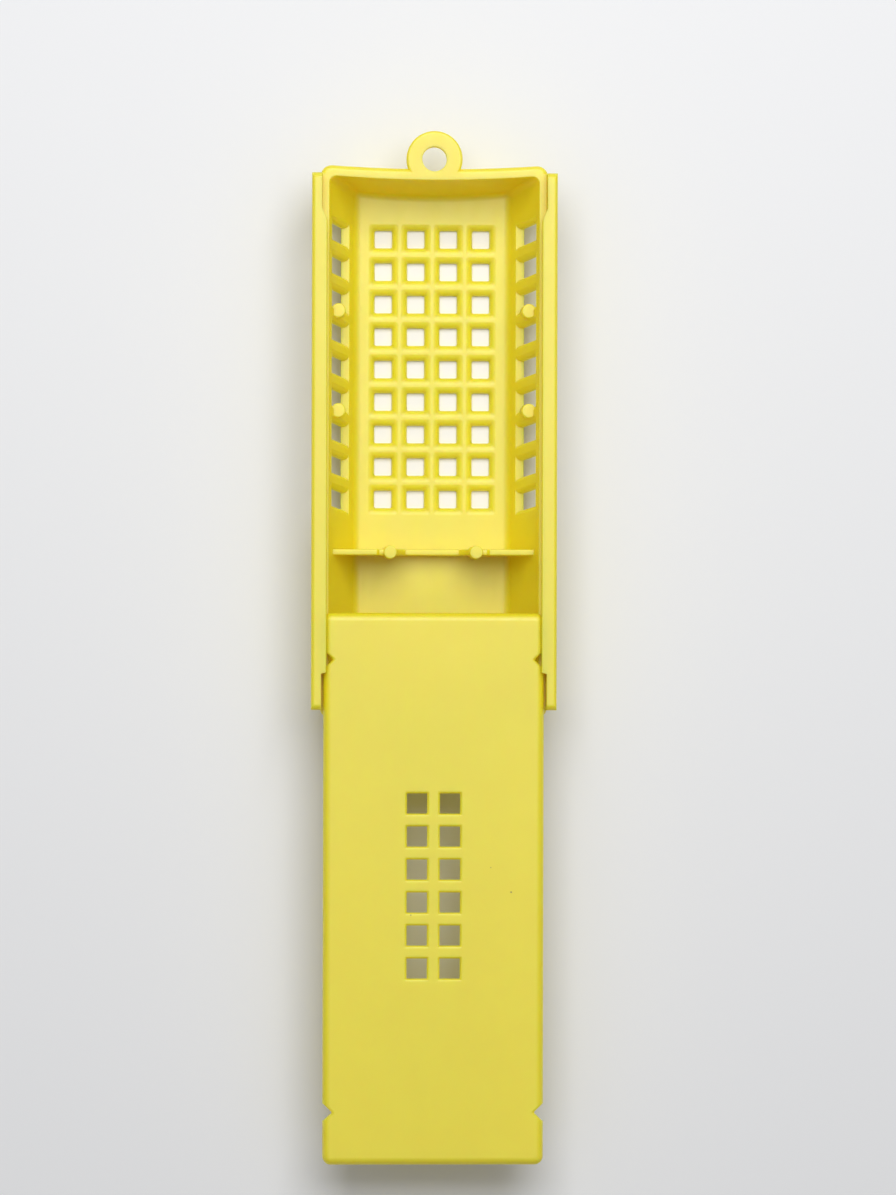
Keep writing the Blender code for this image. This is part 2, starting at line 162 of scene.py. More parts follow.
class Graph:
    """A node tree, written as calls."""

    def __init__(self, owner: bpy.types.Material | bpy.types.World) -> None:
        """Start with an empty tree.

        Args:
            owner: The material or world that the tree belongs to.
        """
        owner.use_nodes = True
        self.tree = owner.node_tree
        self.tree.nodes.clear()

    def node(self, kind: str, settings: dict[str, object], sockets: dict[object, object],
             output: object = 0) -> Wire:
        """Add one node.

        Args:
            kind: The node's type.
            settings: Its properties, set first. "stops" are the stops of its colour ramp.
            sockets: Values or wires for its inputs, by name or number.
            output: The output to return, by name or number.

        Returns:
            The output asked for.
        """
        made = self.tree.nodes.new(kind)
        for name, value in settings.items():
            if name == "stops":
                self._set_stops(made, value)
            else:
                setattr(made, name, value)
        for name, value in sockets.items():
            if isinstance(value, Wire):
                self.tree.links.new(value.socket, made.inputs[name])
            else:
                made.inputs[name].default_value = value
        return Wire(self, made.outputs[output] if len(made.outputs) else None)

    @staticmethod
    def _set_stops(made: bpy.types.Node, stops: Sequence[tuple[float, float]]) -> None:
        """Set a colour ramp's grey stops.

        Args:
            made: The ramp node.
            stops: Place and grey level of each stop.
        """
        ramp = made.color_ramp
        while len(ramp.elements) < len(stops):
            ramp.elements.new(1.0)
        for element, (place, level) in zip(ramp.elements, stops):
            element.position = place
            element.color = (level, level, level, 1.0)

    def ramp(self, value: Wire, low: float, high: float) -> Wire:
        """Zero below low and one above high, with a smooth rise between.

        Args:
            value: What is read.
            low: Where the rise starts.
            high: Where it ends.

        Returns:
            The eased value.
        """
        return self.node("ShaderNodeMapRange", {"interpolation_type": "SMOOTHSTEP"},
                         {"Value": value, "From Min": low, "From Max": high})

    def noise(self, place: Wire, scale: float, detail: float, roughness: float) -> Wire:
        """A noise pattern.

        Args:
            place: Where it is read.
            scale: Features to the metre.
            detail: How many finer layers it has.
            roughness: How strong those are.

        Returns:
            The pattern, about zero to one.
        """
        return self.node("ShaderNodeTexNoise", {},
                         {"Vector": place, "Scale": scale, "Detail": detail,
                          "Roughness": roughness}, "Fac")

    def blend(self, share: Wire | float, low: object, high: object) -> Wire:
        """Mix two colours.

        Args:
            share: How much of the second.
            low: The first colour.
            high: The second colour.

        Returns:
            The mixed colour.
        """
        # A Mix node's colour sockets share their names with its others, so they go by number.
        return self.node("ShaderNodeMix", {"data_type": "RGBA"}, {0: share, 6: low, 7: high}, 2)

    def place(self, scale: Triple = (1.0, 1.0, 1.0),
              shift: Triple = (0.0, 0.0, 0.0)) -> Wire:
        """Object coordinates, stretched and shifted.

        Args:
            scale: Stretch along each axis.
            shift: Shift along each axis.

        Returns:
            The coordinates.
        """
        spot = self.node("ShaderNodeTexCoord", {}, {}, "Object")
        return self.node("ShaderNodeMapping", {},
                         {"Vector": spot, "Scale": scale, "Location": shift})


@dataclass(frozen=True)
class MouldedPlastic:
    """Satin yellow plastic, as it comes from the mould, handled a little."""

    name: str
    body: Triple = (0.875, 0.722, 0.006)
    thin: Triple = (0.885, 0.738, 0.008)
    speck: Triple = (0.20, 0.12, 0.01)
    shift: Triple = (0.0, 0.0, 0.0)
    roughness: float = 0.5
    rough_streaks: float = 0.14
    rough_grain: float = 0.10
    gloss: float = 1.0
    bending: float = 1.57
    depth: float = 0.001
    depth_shares: Triple = (2.4, 1.9, 0.05)
    edge_radius: float = 0.00014
    cloud_scale: float = 150.0
    cloud_layers: Point = (4.0, 0.55)
    cloud_share: float = 0.7
    cloud_relief: float = 0.00003
    cloud_strength: float = 0.4
    streak_scale: float = 600.0
    streak_layers: Point = (3.0, 0.5)
    streak_stretch: float = 0.22
    streak_share: float = 0.3
    grain_scale: float = 2600.0
    grain_layers: Point = (3.0, 0.6)
    grain_relief: float = 0.000012
    grain_strength: float = 0.35
    tone_range: Point = (0.36, 0.66)
    speck_scale: float = 330.0
    speck_range: Point = (0.012, 0.045)
    speck_growth: float = 0.02
    speck_rarity: float = 0.93
    speck_strength: float = 0.75

    def material(self) -> bpy.types.Material:
        """Build the node material.

        Returns:
            The finished material.
        """
        made = bpy.data.materials.new(self.name)
        graph = Graph(made)
        place = graph.place(shift=self.shift)
        flow = graph.place(scale=(1.0, self.streak_stretch, 1.0), shift=self.shift)
        clouds = graph.noise(place, self.cloud_scale, *self.cloud_layers)
        streaks = graph.noise(flow, self.streak_scale, *self.streak_layers)
        grain = graph.noise(place, self.grain_scale, *self.grain_layers)
        pattern = clouds * self.cloud_share + streaks * self.streak_share
        tone = graph.blend(graph.ramp(pattern, *self.tone_range),
                           (*self.body, 1.0), (*self.thin, 1.0))
        colour = graph.blend(self._specks(graph, place), tone, (*self.speck, 1.0))
        rough = ((streaks - 0.5) * self.rough_streaks + (grain - 0.5) * self.rough_grain
                 + self.roughness)
        soft_edge = graph.node("ShaderNodeBevel", {"samples": 4}, {"Radius": self.edge_radius})
        relief = graph.node("ShaderNodeBump", {},
                            {"Strength": self.grain_strength,
                             "Distance": self.grain_relief, "Height": grain,
                             "Normal": soft_edge})
        ripple = graph.node("ShaderNodeBump", {},
                            {"Strength": self.cloud_strength,
                             "Distance": self.cloud_relief, "Height": clouds,
                             "Normal": relief})
        shader = graph.node("ShaderNodeBsdfPrincipled", {},
                            {"Base Color": colour, "Roughness": rough.held(),
                             "Normal": ripple, "IOR": self.bending,
                             "Specular IOR Level": self.gloss, "Subsurface Weight": 1.0,
                             "Subsurface Scale": self.depth,
                             "Subsurface Radius": self.depth_shares})
        graph.node("ShaderNodeOutputMaterial", {}, {"Surface": shader})
        return made

    def _specks(self, graph: Graph, place: Wire) -> Wire:
        """Sparse dark specks in and on the plastic.

        Args:
            graph: The graph to add to.
            place: Where the pattern is read.

        Returns:
            How dark each spot is, zero on bare plastic.
        """
        sockets = {"Vector": place, "Scale": self.speck_scale, "Randomness": 1.0}
        near = graph.node("ShaderNodeTexVoronoi", {}, sockets, "Distance")
        pick = graph.node("ShaderNodeTexVoronoi", {}, sockets, "Color")
        chance = graph.node("ShaderNodeSeparateColor", {}, {"Color": pick}, "Red")
        size = graph.node("ShaderNodeSeparateColor", {}, {"Color": pick}, "Green")
        spot = 1.0 - graph.ramp(near - size * self.speck_growth, *self.speck_range)
        return spot * (chance > self.speck_rarity) * self.speck_strength


@dataclass(frozen=True)
class TableTop:
    """Smooth pale card that the cage lies on."""

    name: str = "table_card"
    pale: Triple = (0.86, 0.865, 0.88)
    dull: Triple = (0.845, 0.85, 0.865)
    roughness: float = 0.85
    gloss: float = 0.2
    cloud_scale: float = 9.0
    cloud_layers: Point = (3.0, 0.5)
    grain_scale: float = 900.0
    grain_layers: Point = (2.0, 0.5)
    grain_relief: float = 0.00002
    grain_strength: float = 0.1

    def material(self) -> bpy.types.Material:
        """Build the node material.

        Returns:
            The finished material.
        """
        made = bpy.data.materials.new(self.name)
        graph = Graph(made)
        place = graph.place()
        clouds = graph.noise(place, self.cloud_scale, *self.cloud_layers)
        grain = graph.noise(place, self.grain_scale, *self.grain_layers)
        colour = graph.blend(clouds, (*self.dull, 1.0), (*self.pale, 1.0))
        relief = graph.node("ShaderNodeBump", {},
                            {"Strength": self.grain_strength, "Distance": self.grain_relief,
                             "Height": grain})
        shader = graph.node("ShaderNodeBsdfPrincipled", {},
                            {"Base Color": colour, "Normal": relief,
                             "Roughness": self.roughness, "Specular IOR Level": self.gloss})
        graph.node("ShaderNodeOutputMaterial", {}, {"Surface": shader})
        return made


# Solid shapes


class Workbench:
    """Turns shapes into objects, works them on one another and clears its tools away."""

    def __init__(self) -> None:
        """Start with no tools out."""
        self.tools: list[bpy.types.Object] = []

    @staticmethod
    def solid(name: str, shape: bmesh.types.BMesh) -> bpy.types.Object:
        """Make an object of a shape, with its faces pointing out.

        Args:
            name: The object's name.
            shape: The shape, which is freed.

        Returns:
            The new object.
        """
        bmesh.ops.recalc_face_normals(shape, faces=shape.faces)
        mesh = bpy.data.meshes.new(name)
        shape.to_mesh(mesh)
        shape.free()
        thing = bpy.data.objects.new(name, mesh)
        bpy.context.scene.collection.objects.link(thing)
        return thing

    def work(self, target: bpy.types.Object, shape: bmesh.types.BMesh, joining: Joining,
             name: str) -> bpy.types.Object:
        """Add a shape to a solid, cut it away or keep what they share.

        Args:
            target: The solid that changes.
            shape: The other shape, which is freed.
            joining: What is done.
            name: A name for the step.

        Returns:
            The tool object, which finish removes.
        """
        tool = self.solid(name, shape)
        self.use(target, tool, joining)
        return tool

    def use(self, target: bpy.types.Object, tool: bpy.types.Object, joining: Joining) -> None:
        """Work an object on a solid.

        Args:
            target: The solid that changes.
            tool: The other object, which finish removes.
            joining: What is done.
        """
        step = target.modifiers.new(tool.name, 'BOOLEAN')
        step.operation = joining.value
        step.object = tool
        self.tools.append(tool)

    def finish(self, target: bpy.types.Object, crease: float = 34.0) -> None:
        """Bake the steps into the solid's mesh, remove the tools and shade it.

        Args:
            target: The solid.
            crease: Angle in degrees past which an edge stays sharp.
        """
        bpy.context.view_layer.update()
        graph = bpy.context.evaluated_depsgraph_get()
        mesh = bpy.data.meshes.new_from_object(target.evaluated_get(graph))
        target.modifiers.clear()
        target.data = mesh
        for tool in self.tools:
            bpy.data.objects.remove(tool, do_unlink=True)
        self.tools.clear()
        shape = bmesh.new()
        shape.from_mesh(mesh)
        bmesh.ops.remove_doubles(shape, verts=shape.verts, dist=WELD)
        bmesh.ops.dissolve_degenerate(shape, edges=shape.edges, dist=WELD)
        shape.to_mesh(mesh)
        shape.free()
        mesh.shade_smooth()
        mesh.set_sharp_from_angle(angle=math.radians(crease))
        weigh = target.modifiers.new("even_faces", 'WEIGHTED_NORMAL')
        weigh.keep_sharp = True
        weigh.weight = EVEN_WEIGHT


def round_edges(shape: bmesh.types.BMesh, edges: Iterable[bmesh.types.BMEdge], radius: float,
                steps: int) -> None:
    """Round some edges of a shape.

    Args:
        shape: The shape.
        edges: The edges to round.
        radius: Radius of the rounding.
        steps: How many faces it gets.
    """
    bmesh.ops.bevel(shape, geom=list(edges), offset=radius, offset_type='OFFSET',
                    segments=steps, profile=0.5, affect='EDGES', clamp_overlap=True, material=-1)


def is_upright(edge: bmesh.types.BMEdge) -> bool:
    """Whether an edge leads from one level to another."""
    low, high = (vert.co for vert in edge.verts)
    return abs(high.z - low.z) > abs(high.x - low.x) + abs(high.y - low.y)


def is_level(edge: bmesh.types.BMEdge, level: float) -> bool:
    """Whether both ends of an edge lie at one level."""
    return all(abs(vert.co.z - level) < SAME for vert in edge.verts)


def border(shape: bmesh.types.BMesh, level: float) -> list[bmesh.types.BMEdge]:
    """The edges round a shape's flat top or bottom.

    Args:
        shape: The shape.
        level: The level of that top or bottom.

    Returns:
        Its outer edges.
    """
    return [edge for edge in shape.edges if is_level(edge, level)
            and not all(is_level(other, level) for face in edge.link_faces
                        for other in face.edges)]


def raise_top(shape: bmesh.types.BMesh, top: list[bmesh.types.BMFace],
              size: Triple, rise: float) -> list[bmesh.types.BMFace]:
    """Draw a shape's flat top out.

    Args:
        shape: The shape.
        top: The faces of its top.
        size: How much wider, longer and higher the new top gets about the origin.
        rise: How far it moves upwards after that.

    Returns:
        The faces of the new top.
    """
    made = bmesh.ops.extrude_face_region(shape, geom=top)["geom"]
    bmesh.ops.delete(shape, geom=top, context='FACES')
    verts = [item for item in made if isinstance(item, bmesh.types.BMVert)]
    bmesh.ops.scale(shape, verts=verts, vec=Vector(size))
    bmesh.ops.translate(shape, verts=verts, vec=Vector((0, 0, rise)))
    return [item for item in made if isinstance(item, bmesh.types.BMFace)]


def tapered_box(low_size: Point, high_size: Point, low: float, high: float, bow: float,
                corner_radius: float, corner_steps: int = 8,
                bow_cuts: int = 8) -> bmesh.types.BMesh:
    """A box whose width and length run from one size to another with height.

    Args:
        low_size: Width and length at the bottom.
        high_size: Width and length at the top.
        low: Level of the bottom.
        high: Level of the top.
        bow: How far the two end walls are bowed inwards.
        corner_radius: Radius of the upright corners.
        corner_steps: Faces in each corner.
        bow_cuts: Cuts across the end walls.

    Returns:
        The shape.
    """
    shape = bmesh.new()
    bmesh.ops.create_cube(shape, size=2.0)
    if bow:
        across = [edge for edge in shape.edges if edge.verts[0].co.x != edge.verts[1].co.x]
        bmesh.ops.subdivide_edges(shape, edges=across, cuts=bow_cuts, use_grid_fill=True)
    for vert in shape.verts:
        share = (vert.co.z + 1) / 2
        half_width = (low_size[0] * (1 - share) + high_size[0] * share) / 2
        half_length = (low_size[1] * (1 - share) + high_size[1] * share) / 2
        half_length -= bow * (1 - vert.co.x ** 2)
        vert.co = Vector((vert.co.x * half_width, vert.co.y * half_length,
                          low * (1 - share) + high * share))
    corners = [edge for edge in shape.edges if is_upright(edge)
               and all(abs(abs(vert.co.x) - size[0] / 2) < SAME
                       for vert, size in zip(sorted(edge.verts, key=lambda v: v.co.z),
                                             (low_size, high_size)))]
    round_edges(shape, corners, corner_radius, corner_steps)
    return shape


def post(shape: bmesh.types.BMesh, radius: float, low: float, high: float, place: Point,
         sides: int = 40, easing: float = 0.0) -> None:
    """Add an upright round post to a shape.

    Args:
        shape: The shape.
        radius: Radius of the post.
        low: Level of its foot.
        high: Level of its top.
        place: Its centre.
        sides: Faces round it.
        easing: Radius of its rounded top edge.
    """
    made = bmesh.ops.create_cone(shape, cap_ends=True, segments=sides, depth=high - low,
                                 radius1=radius, radius2=radius)
    bmesh.ops.translate(shape, verts=made["verts"], vec=Vector((*place, (low + high) / 2)))
    if easing:
        # A dict drops the doubles, as a set would, but keeps the order from run to run.
        ring = dict.fromkeys(edge for vert in made["verts"] for edge in vert.link_edges
                             if is_level(edge, high))
        round_edges(shape, ring, easing, steps=4)


def grown_to(shape: bmesh.types.BMesh, face: bmesh.types.BMFace, way: Vector,
             spread: float = 1.0) -> bmesh.types.BMFace:
    """Draw a face out of a shape.

    Args:
        shape: The shape.
        face: The face.
        way: How far it moves.
        spread: How much wider it gets about its own middle.

    Returns:
        The face at the far end.
    """
    made = bmesh.ops.extrude_face_region(shape, geom=[face])["geom"]
    far = next(item for item in made if isinstance(item, bmesh.types.BMFace))
    if all(len(edge.link_faces) > 2 for edge in face.edges):
        bmesh.ops.delete(shape, geom=[face], context='FACES_ONLY')
    middle = far.calc_center_bounds()
    bmesh.ops.scale(shape, vec=Vector((spread, spread, spread)), verts=far.verts,
                    space=Matrix.Translation(-middle))
    bmesh.ops.translate(shape, vec=way, verts=far.verts)
    return far


def square_peg(shape: bmesh.types.BMesh, levels: Sequence[Point], place: Point,
               corner: float, turn: float = 0.0) -> None:
    """Add a square peg to a shape, with a side that changes from level to level.

    Args:
        shape: The shape.
        levels: Level and side of each step, from the bottom.
        place: The peg's centre.
        corner: Radius of its upright corners at the bottom.
        turn: How far it is turned about its own line, in degrees.
    """
    low, side = levels[0]
    inset = side / 2 - corner
    rounds = [((inset, inset), 0), ((-inset, inset), 90), ((-inset, -inset), 180),
              ((inset, -inset), 270)]
    outline = [point for centre, start in rounds
               for point in arc(centre, corner, start, start + 90, steps=3)]
    rotation = Matrix.Rotation(math.radians(turn), 2)
    outline = [rotation @ Vector(point) for point in outline]
    face = shape.faces.new([shape.verts.new((place[0] + across, place[1] + along, low))
                            for across, along in outline])
    for level, size in levels[1:]:
        face = grown_to(shape, face, Vector((0, 0, level - low)), size / side)
        low, side = level, size


def run_on(levels: list[Point], past: float) -> list[Point]:
    """Carry the last slope of a peg's steps on to a further level.

    Args:
        levels: Level and side of each step.
        past: The further level.

    Returns:
        The steps with one more.
    """
    (low, low_side), (high, high_side) = levels[-2:]
    return levels + [(past, high_side + (high_side - low_side) / (high - low) * (past - high))]


def prism(outline: Sequence[Point], low: float, high: float, drawn: Drawn,
          slant: Point = (0.0, 0.0)) -> bmesh.types.BMesh:
    """An outline drawn out into a solid.

    Args:
        outline: The outline's points.
        low: Where it starts.
        high: Where it ends.
        drawn: How the outline lies.
        slant: How far the far end is shifted across and along the cage.

    Returns:
        The shape.
    """
    shape = bmesh.new()
    face = shape.faces.new([shape.verts.new(drawn.point(one, other, low))
                            for one, other in outline])
    grown_to(shape, face, drawn.point(0, 0, high - low) + Vector((*slant, 0)))
    return shape


def merge(shape: bmesh.types.BMesh, other: bmesh.types.BMesh) -> None:
    """Take another shape into a shape.

    Args:
        shape: The shape that grows.
        other: The other shape, which is freed.
    """
    mesh = bpy.data.meshes.new("passing")
    other.to_mesh(mesh)
    other.free()
    shape.from_mesh(mesh)
    bpy.data.meshes.remove(mesh)


def arc(centre: Point, radius: float, start: float, end: float, steps: int) -> list[Point]:
    """Points along an arc.

    Args:
        centre: Its centre.
        radius: Its radius.
        start: Angle of its first point, in degrees.
        end: Angle of its last point.
        steps: Steps between them.

    Returns:
        The points.
    """
    angles = [math.radians(start + (end - start) * step / steps) for step in range(steps + 1)]
    return [(centre[0] + radius * math.cos(angle), centre[1] + radius * math.sin(angle))
            for angle in angles]


def line_up(count: int, pitch: float) -> list[float]:
    """Places of a row of count things about zero."""
    return [(index - (count - 1) / 2) * pitch for index in range(count)]


# The two mouldings


def dress(piece: bpy.types.Object, plastic: MouldedPlastic) -> None:
    """Give a moulding its plastic."""
    piece.data.materials.clear()
    piece.data.materials.append(plastic.material())


@dataclass
class Tray:
    """The tray: floor grille, windowed walls, rim, rails, hanging ring and divider."""

    length: float = 0.0842
    width: float = 0.0372
    height: float = 0.0120
    wall_end: float = 0.00166
    bow: float = 0.00065
    draft: float = 0.00174
    floor: float = 0.0013
    floor_width: float = 0.0238
    mouth_width: float = 0.03196
    foot_width: float = 0.0254
    foot_rounding: float = 0.0006
    rim_width: float = 0.03446
    rim_band: float = 0.0012
    rim_rounding: float = 0.0008
    corner: float = 0.0016
    inner_corner: float = 0.0011
    fillet: float = 0.0010

    pitch: float = 0.0050
    first_row: float = 0.03144
    rows: int = 9
    columns: int = 4
    hole: float = 0.00265
    hole_corner: float = 0.00025
    rib_foot: float = 0.0003
    rib_steps: int = 7
    rib_angle: float = 13.0

    window_pitch: float = 0.00507
    window_length: float = 0.0027
    window_sill: float = 0.0036
    window_top: float = 0.0108
    window_lean: float = 0.00088
    window_reach: float = 0.004
    bar_rounding: float = 0.0009
    bar_end_angle: float = 200.0
    flare_reach: float = 0.0005
    flare_share: float = 1.2

    boss_radius: float = 0.0011
    boss_drop: float = 0.0020
    boss_set_in: float = 0.0007
    boss_shift: float = 0.0007
    boss_easing: float = 0.0002
    boss_bars: tuple[int, ...] = (3, 6)

    disc_depth: float = 0.00015
    disc_shift: float = 0.0109
    disc_foot_radius: float = 0.0043
    disc_rim_radius: float = 0.0055
    disc_sides: int = 72

    divider_place: float = -0.01675
    divider_thickness_half: float = 0.00045
    divider_drop: float = 0.0018
    divider_rounding: float = 0.00016
    divider_plain: float = 0.001
    dip: float = 0.0006
    dip_top_half: float = 0.0086
    dip_foot_half: float = 0.0082
    doorway_top_half: float = 0.0055
    doorway_foot_half: float = 0.0041
    doorway_sill: float = 0.0033
    post_radius: float = 0.0010
    post_place: float = 0.00655
    post_drop: float = 0.0016
    post_easing: float = 0.00015

    rail_wall: float = 0.00157
    rail_half: float = 0.0407
    rail_foot: float = 0.0106
    rail_top: float = 0.0150
    rail_rounding: float = 0.0011
    rail_flat_angle: float = 6.0
    rail_clearance: float = 0.00002
    rail_shoulder: float = 0.0006
    rail_foot_edge: float = 0.0002
    rail_root: float = 0.0007
    rail_sink: float = 0.000005
    rail_spare: float = 0.0002
    lip_under: float = 0.0144
    lip_reach: float = 0.00075
    lip_rounding: float = 0.0002
    lip_half: float = 0.0352
    lip_lead_ring: float = 0.0018
    lip_lead_candy: float = 0.0002
    lip_bite: float = 0.00005

    ring_place: float = 0.04295
    ring_radius: float = 0.00427
    ring_thickness: float = 0.0018
    ring_rounding: float = 0.0004
    ring_sides: int = 72
    eye_radius: float = 0.00187
    eye_sides: int = 56

    plastic: MouldedPlastic = field(
        default_factory=lambda: MouldedPlastic("tray_plastic_satin"))

    def inner_half(self, level: float) -> float:
        """Half the width between the side walls at a level."""
        share = (level - self.floor) / (self.height - self.floor)
        return (self.floor_width + (self.mouth_width - self.floor_width) * share) / 2

    def outer_half(self, level: float) -> float:
        """Half the width over the side walls at a level."""
        return (self.foot_width + (self.rim_width - self.foot_width) * level / self.height) / 2

    def inner_end(self, level: float) -> float:
        """Half the length between the end walls' corners at a level."""
        share = (level - self.floor) / (self.height - self.floor)
        return self.length / 2 - self.wall_end - self.draft * (1 - share)

    def outer_end(self, level: float) -> float:
        """Half the length over the end walls' corners at a level."""
        return self.length / 2 - self.draft * (1 - level / self.height)

    def build(self) -> bpy.types.Object:
        """Build the moulding.

        Returns:
            The finished object, dressed and riding on the tray's body.
        """
        bench = Workbench()
        tray = bench.solid("tray_moulding", self._shell())
        bench.work(tray, self._ring_plate(), Joining.ADD, "ring_plate")
        bench.work(tray, self._cavity(), Joining.CUT, "cavity")
        bench.work(tray, self._grille(), Joining.CUT, "grille")
        bench.work(tray, self._windows(), Joining.CUT, "windows")
        bench.work(tray, self._disc(), Joining.CUT, "disc")
        bosses = bench.work(tray, self._bosses(), Joining.ADD, "bosses")
        bench.work(bosses, self._shell(), Joining.SHARE, "boss_limit")
        bench.work(tray, self._divider(), Joining.ADD, "divider")
        bench.work(tray, self._divider_posts(), Joining.ADD, "divider_posts")
        for side in Side:
            rail = bench.work(tray, self._rail(side), Joining.ADD, f"rail_{side.name}")
            for end in End:
                bench.work(rail, self._lip_trim(side, end), Joining.CUT,
                           f"trim_{side.name}_{end.name}")
            bench.work(rail, self._rail_limit(), Joining.SHARE, f"limit_{side.name}")
        bench.work(tray, self._ring_eye(), Joining.CUT, "ring_eye")
        bench.finish(tray)
        dress(tray, self.plastic)
        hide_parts("tray")
        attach(tray, "tray")
        return tray

    def _shell(self) -> bmesh.types.BMesh:
        """Form the outside, with its rounded foot and with the rim's upright band.

        Returns:
            The shape.
        """
        ledge = self.height - self.rim_band
        ledge_size = (2 * self.outer_half(ledge), 2 * self.outer_end(ledge))
        shape = tapered_box((self.foot_width, 2 * self.outer_end(0)), ledge_size, 0, ledge,
                            self.bow, self.corner)
        round_edges(shape, border(shape, 0), self.foot_rounding, steps=5)
        top = [face for face in shape.faces if all(is_level(edge, ledge) for edge in face.edges)]
        widening = (self.rim_width / ledge_size[0], self.length / ledge_size[1], 1)
        top = raise_top(shape, top, widening, 0)
        raise_top(shape, top, (1, 1, 1), self.rim_band)
        round_edges(shape, border(shape, self.height), self.rim_rounding, steps=5)
        return shape

    def _cavity(self) -> bmesh.types.BMesh:
        """Form what is hollow, with a fillet along the floor.

        Returns:
            The shape to cut away.
        """
        top = self.height + OVERRUN
        shape = tapered_box((self.floor_width, 2 * self.inner_end(self.floor)),
                            (2 * self.inner_half(top), 2 * self.inner_end(top)),
                            self.floor, top, self.bow, self.inner_corner)
        round_edges(shape, border(shape, self.floor), self.fillet, steps=4)
        return shape

    def _ring_plate(self) -> bmesh.types.BMesh:
        """Form the flat hanging ring, before its eye is cut.

        Returns:
            The shape.
        """
        shape = bmesh.new()
        post(shape, self.ring_radius, self.height - self.ring_thickness, self.height,
             (0, self.ring_place), self.ring_sides)
        rims = [edge for edge in shape.edges if not is_upright(edge)]
        round_edges(shape, rims, self.ring_rounding, steps=4)
        return shape

    def _ring_eye(self) -> bmesh.types.BMesh:
        """Form the ring's eye.

        Returns:
            The shape to cut away.
        """
        shape = bmesh.new()
        low = self.height - self.ring_thickness
        post(shape, self.eye_radius, low - OVERRUN, self.height + OVERRUN,
             (0, self.ring_place), self.eye_sides)
        return shape

    def _rib_levels(self) -> list[Point]:
        """Work out the grille openings between rounded ribs.

        Returns:
            Level and side of an opening at each step, from below the floor to above it.
        """
        rise = self.floor - self.rib_foot
        half_rib = (self.pitch - self.hole) / 2
        levels = [(-OVERRUN, self.hole)]
        for step in range(self.rib_steps):
            angle = math.radians(step * self.rib_angle)
            half = half_rib * math.cos(angle)
            levels.append((self.rib_foot + rise * math.sin(angle), self.pitch - 2 * half))
        return run_on(levels, self.floor + SKIM)

    def _grille(self) -> bmesh.types.BMesh:
        """Form the floor's openings, with rounded ribs between them.

        Returns:
            The shape to cut away.
        """
        shape = bmesh.new()
        levels = self._rib_levels()
        for row in range(self.rows):
            for across in line_up(self.columns, self.pitch):
                square_peg(shape, levels, (across, self.first_row - row * self.pitch),
                           self.hole_corner)
        return shape

    def _window_places(self) -> list[float]:
        """Places of the side windows along the tray, from the ring's end."""
        last = self.first_row - (self.rows - 1) * self.pitch
        return [last + (self.rows - 1 - row) * self.window_pitch for row in range(self.rows)]

    def _windows(self) -> bmesh.types.BMesh:
        """Form the leaning windows in both side walls, with their bars rounded inside.

        Returns:
            The shape to cut away.
        """
        shape = bmesh.new()
        half = self.window_length / 2
        near = self.inner_half(self.window_sill)
        slant = self.inner_half(self.window_top) - near
        radius = self.bar_rounding
        flank = [(near + self.window_reach, half)]
        flank += arc((near + radius, half + radius), radius, 270, self.bar_end_angle, steps=5)
        flank += [(near - self.flare_reach, half + self.flare_share * radius)]
        outline = flank + [(across, -along) for across, along in reversed(flank)]
        for place in self._window_places():
            for side in Side:
                points = [(side.value * across, place + along - self.window_lean / 2)
                          for across, along in outline]
                merge(shape, prism(points, self.window_sill, self.window_top, Drawn.PLAN,
                                   (side.value * slant, self.window_lean)))
        return shape

    def _disc(self) -> bmesh.types.BMesh:
        """Form the knock-out disc's shallow recess in the candy room's floor.

        Returns:
            The shape to cut away, wider at its top for a soft edge.
        """
        shape = bmesh.new()
        place = Vector((0, self.divider_place - self.disc_shift, self.floor))
        made = bmesh.ops.create_cone(shape, cap_ends=True, segments=self.disc_sides,
                                     depth=2 * self.disc_depth, radius1=self.disc_foot_radius,
                                     radius2=self.disc_rim_radius)
        bmesh.ops.translate(shape, verts=made["verts"], vec=place)
        return shape

    def _bosses(self) -> bmesh.types.BMesh:
        """Form the ejector bosses on the side walls' bars.

        Returns:
            The shape, which reaches out past the walls.
        """
        shape = bmesh.new()
        top = self.height - self.boss_drop
        across = self.inner_half(top) - self.boss_set_in
        places = self._window_places()
        for bar in self.boss_bars:
            along = (places[bar - 1] + places[bar]) / 2 + self.boss_shift
            for side in Side:
                post(shape, self.boss_radius, self.window_sill, top,
                     (side.value * across, along), easing=self.boss_easing)
        return shape

    def _divider(self) -> bmesh.types.BMesh:
        """Form the divider, with its doorway and its dips beside the posts.

        Returns:
            The shape.
        """
        top = self.height - self.divider_drop
        dip = top - self.dip
        foot = self.floor / 2
        foot_half = (self.inner_half(foot) + self.outer_half(foot)) / 2
        top_half = (self.inner_half(top) + self.outer_half(top)) / 2
        right = [(foot_half, foot), (top_half, top), (self.dip_top_half, top),
                 (self.dip_foot_half, dip), (self.doorway_top_half, dip),
                 (self.doorway_foot_half, self.floor + self.doorway_sill)]
        outline = right + [(-across, up) for across, up in reversed(right)]
        shape = prism(outline, self.divider_place - self.divider_thickness_half,
                      self.divider_place + self.divider_thickness_half, Drawn.SECTION)
        rims = [edge for edge in shape.edges
                if min(vert.co.z for vert in edge.verts) > self.floor + self.divider_plain
                and abs(edge.verts[0].co.y - edge.verts[1].co.y) < SAME
                and not all(abs(vert.co.x) > foot_half for vert in edge.verts)]
        round_edges(shape, rims, self.divider_rounding, steps=3)
        return shape

    def _divider_posts(self) -> bmesh.types.BMesh:
        """Form the two round posts beside the doorway.

        Returns:
            The shape.
        """
        shape = bmesh.new()
        for side in Side:
            post(shape, self.post_radius, self.floor / 2, self.height - self.post_drop,
                 (side.value * self.post_place, self.divider_place), easing=self.post_easing)
        return shape

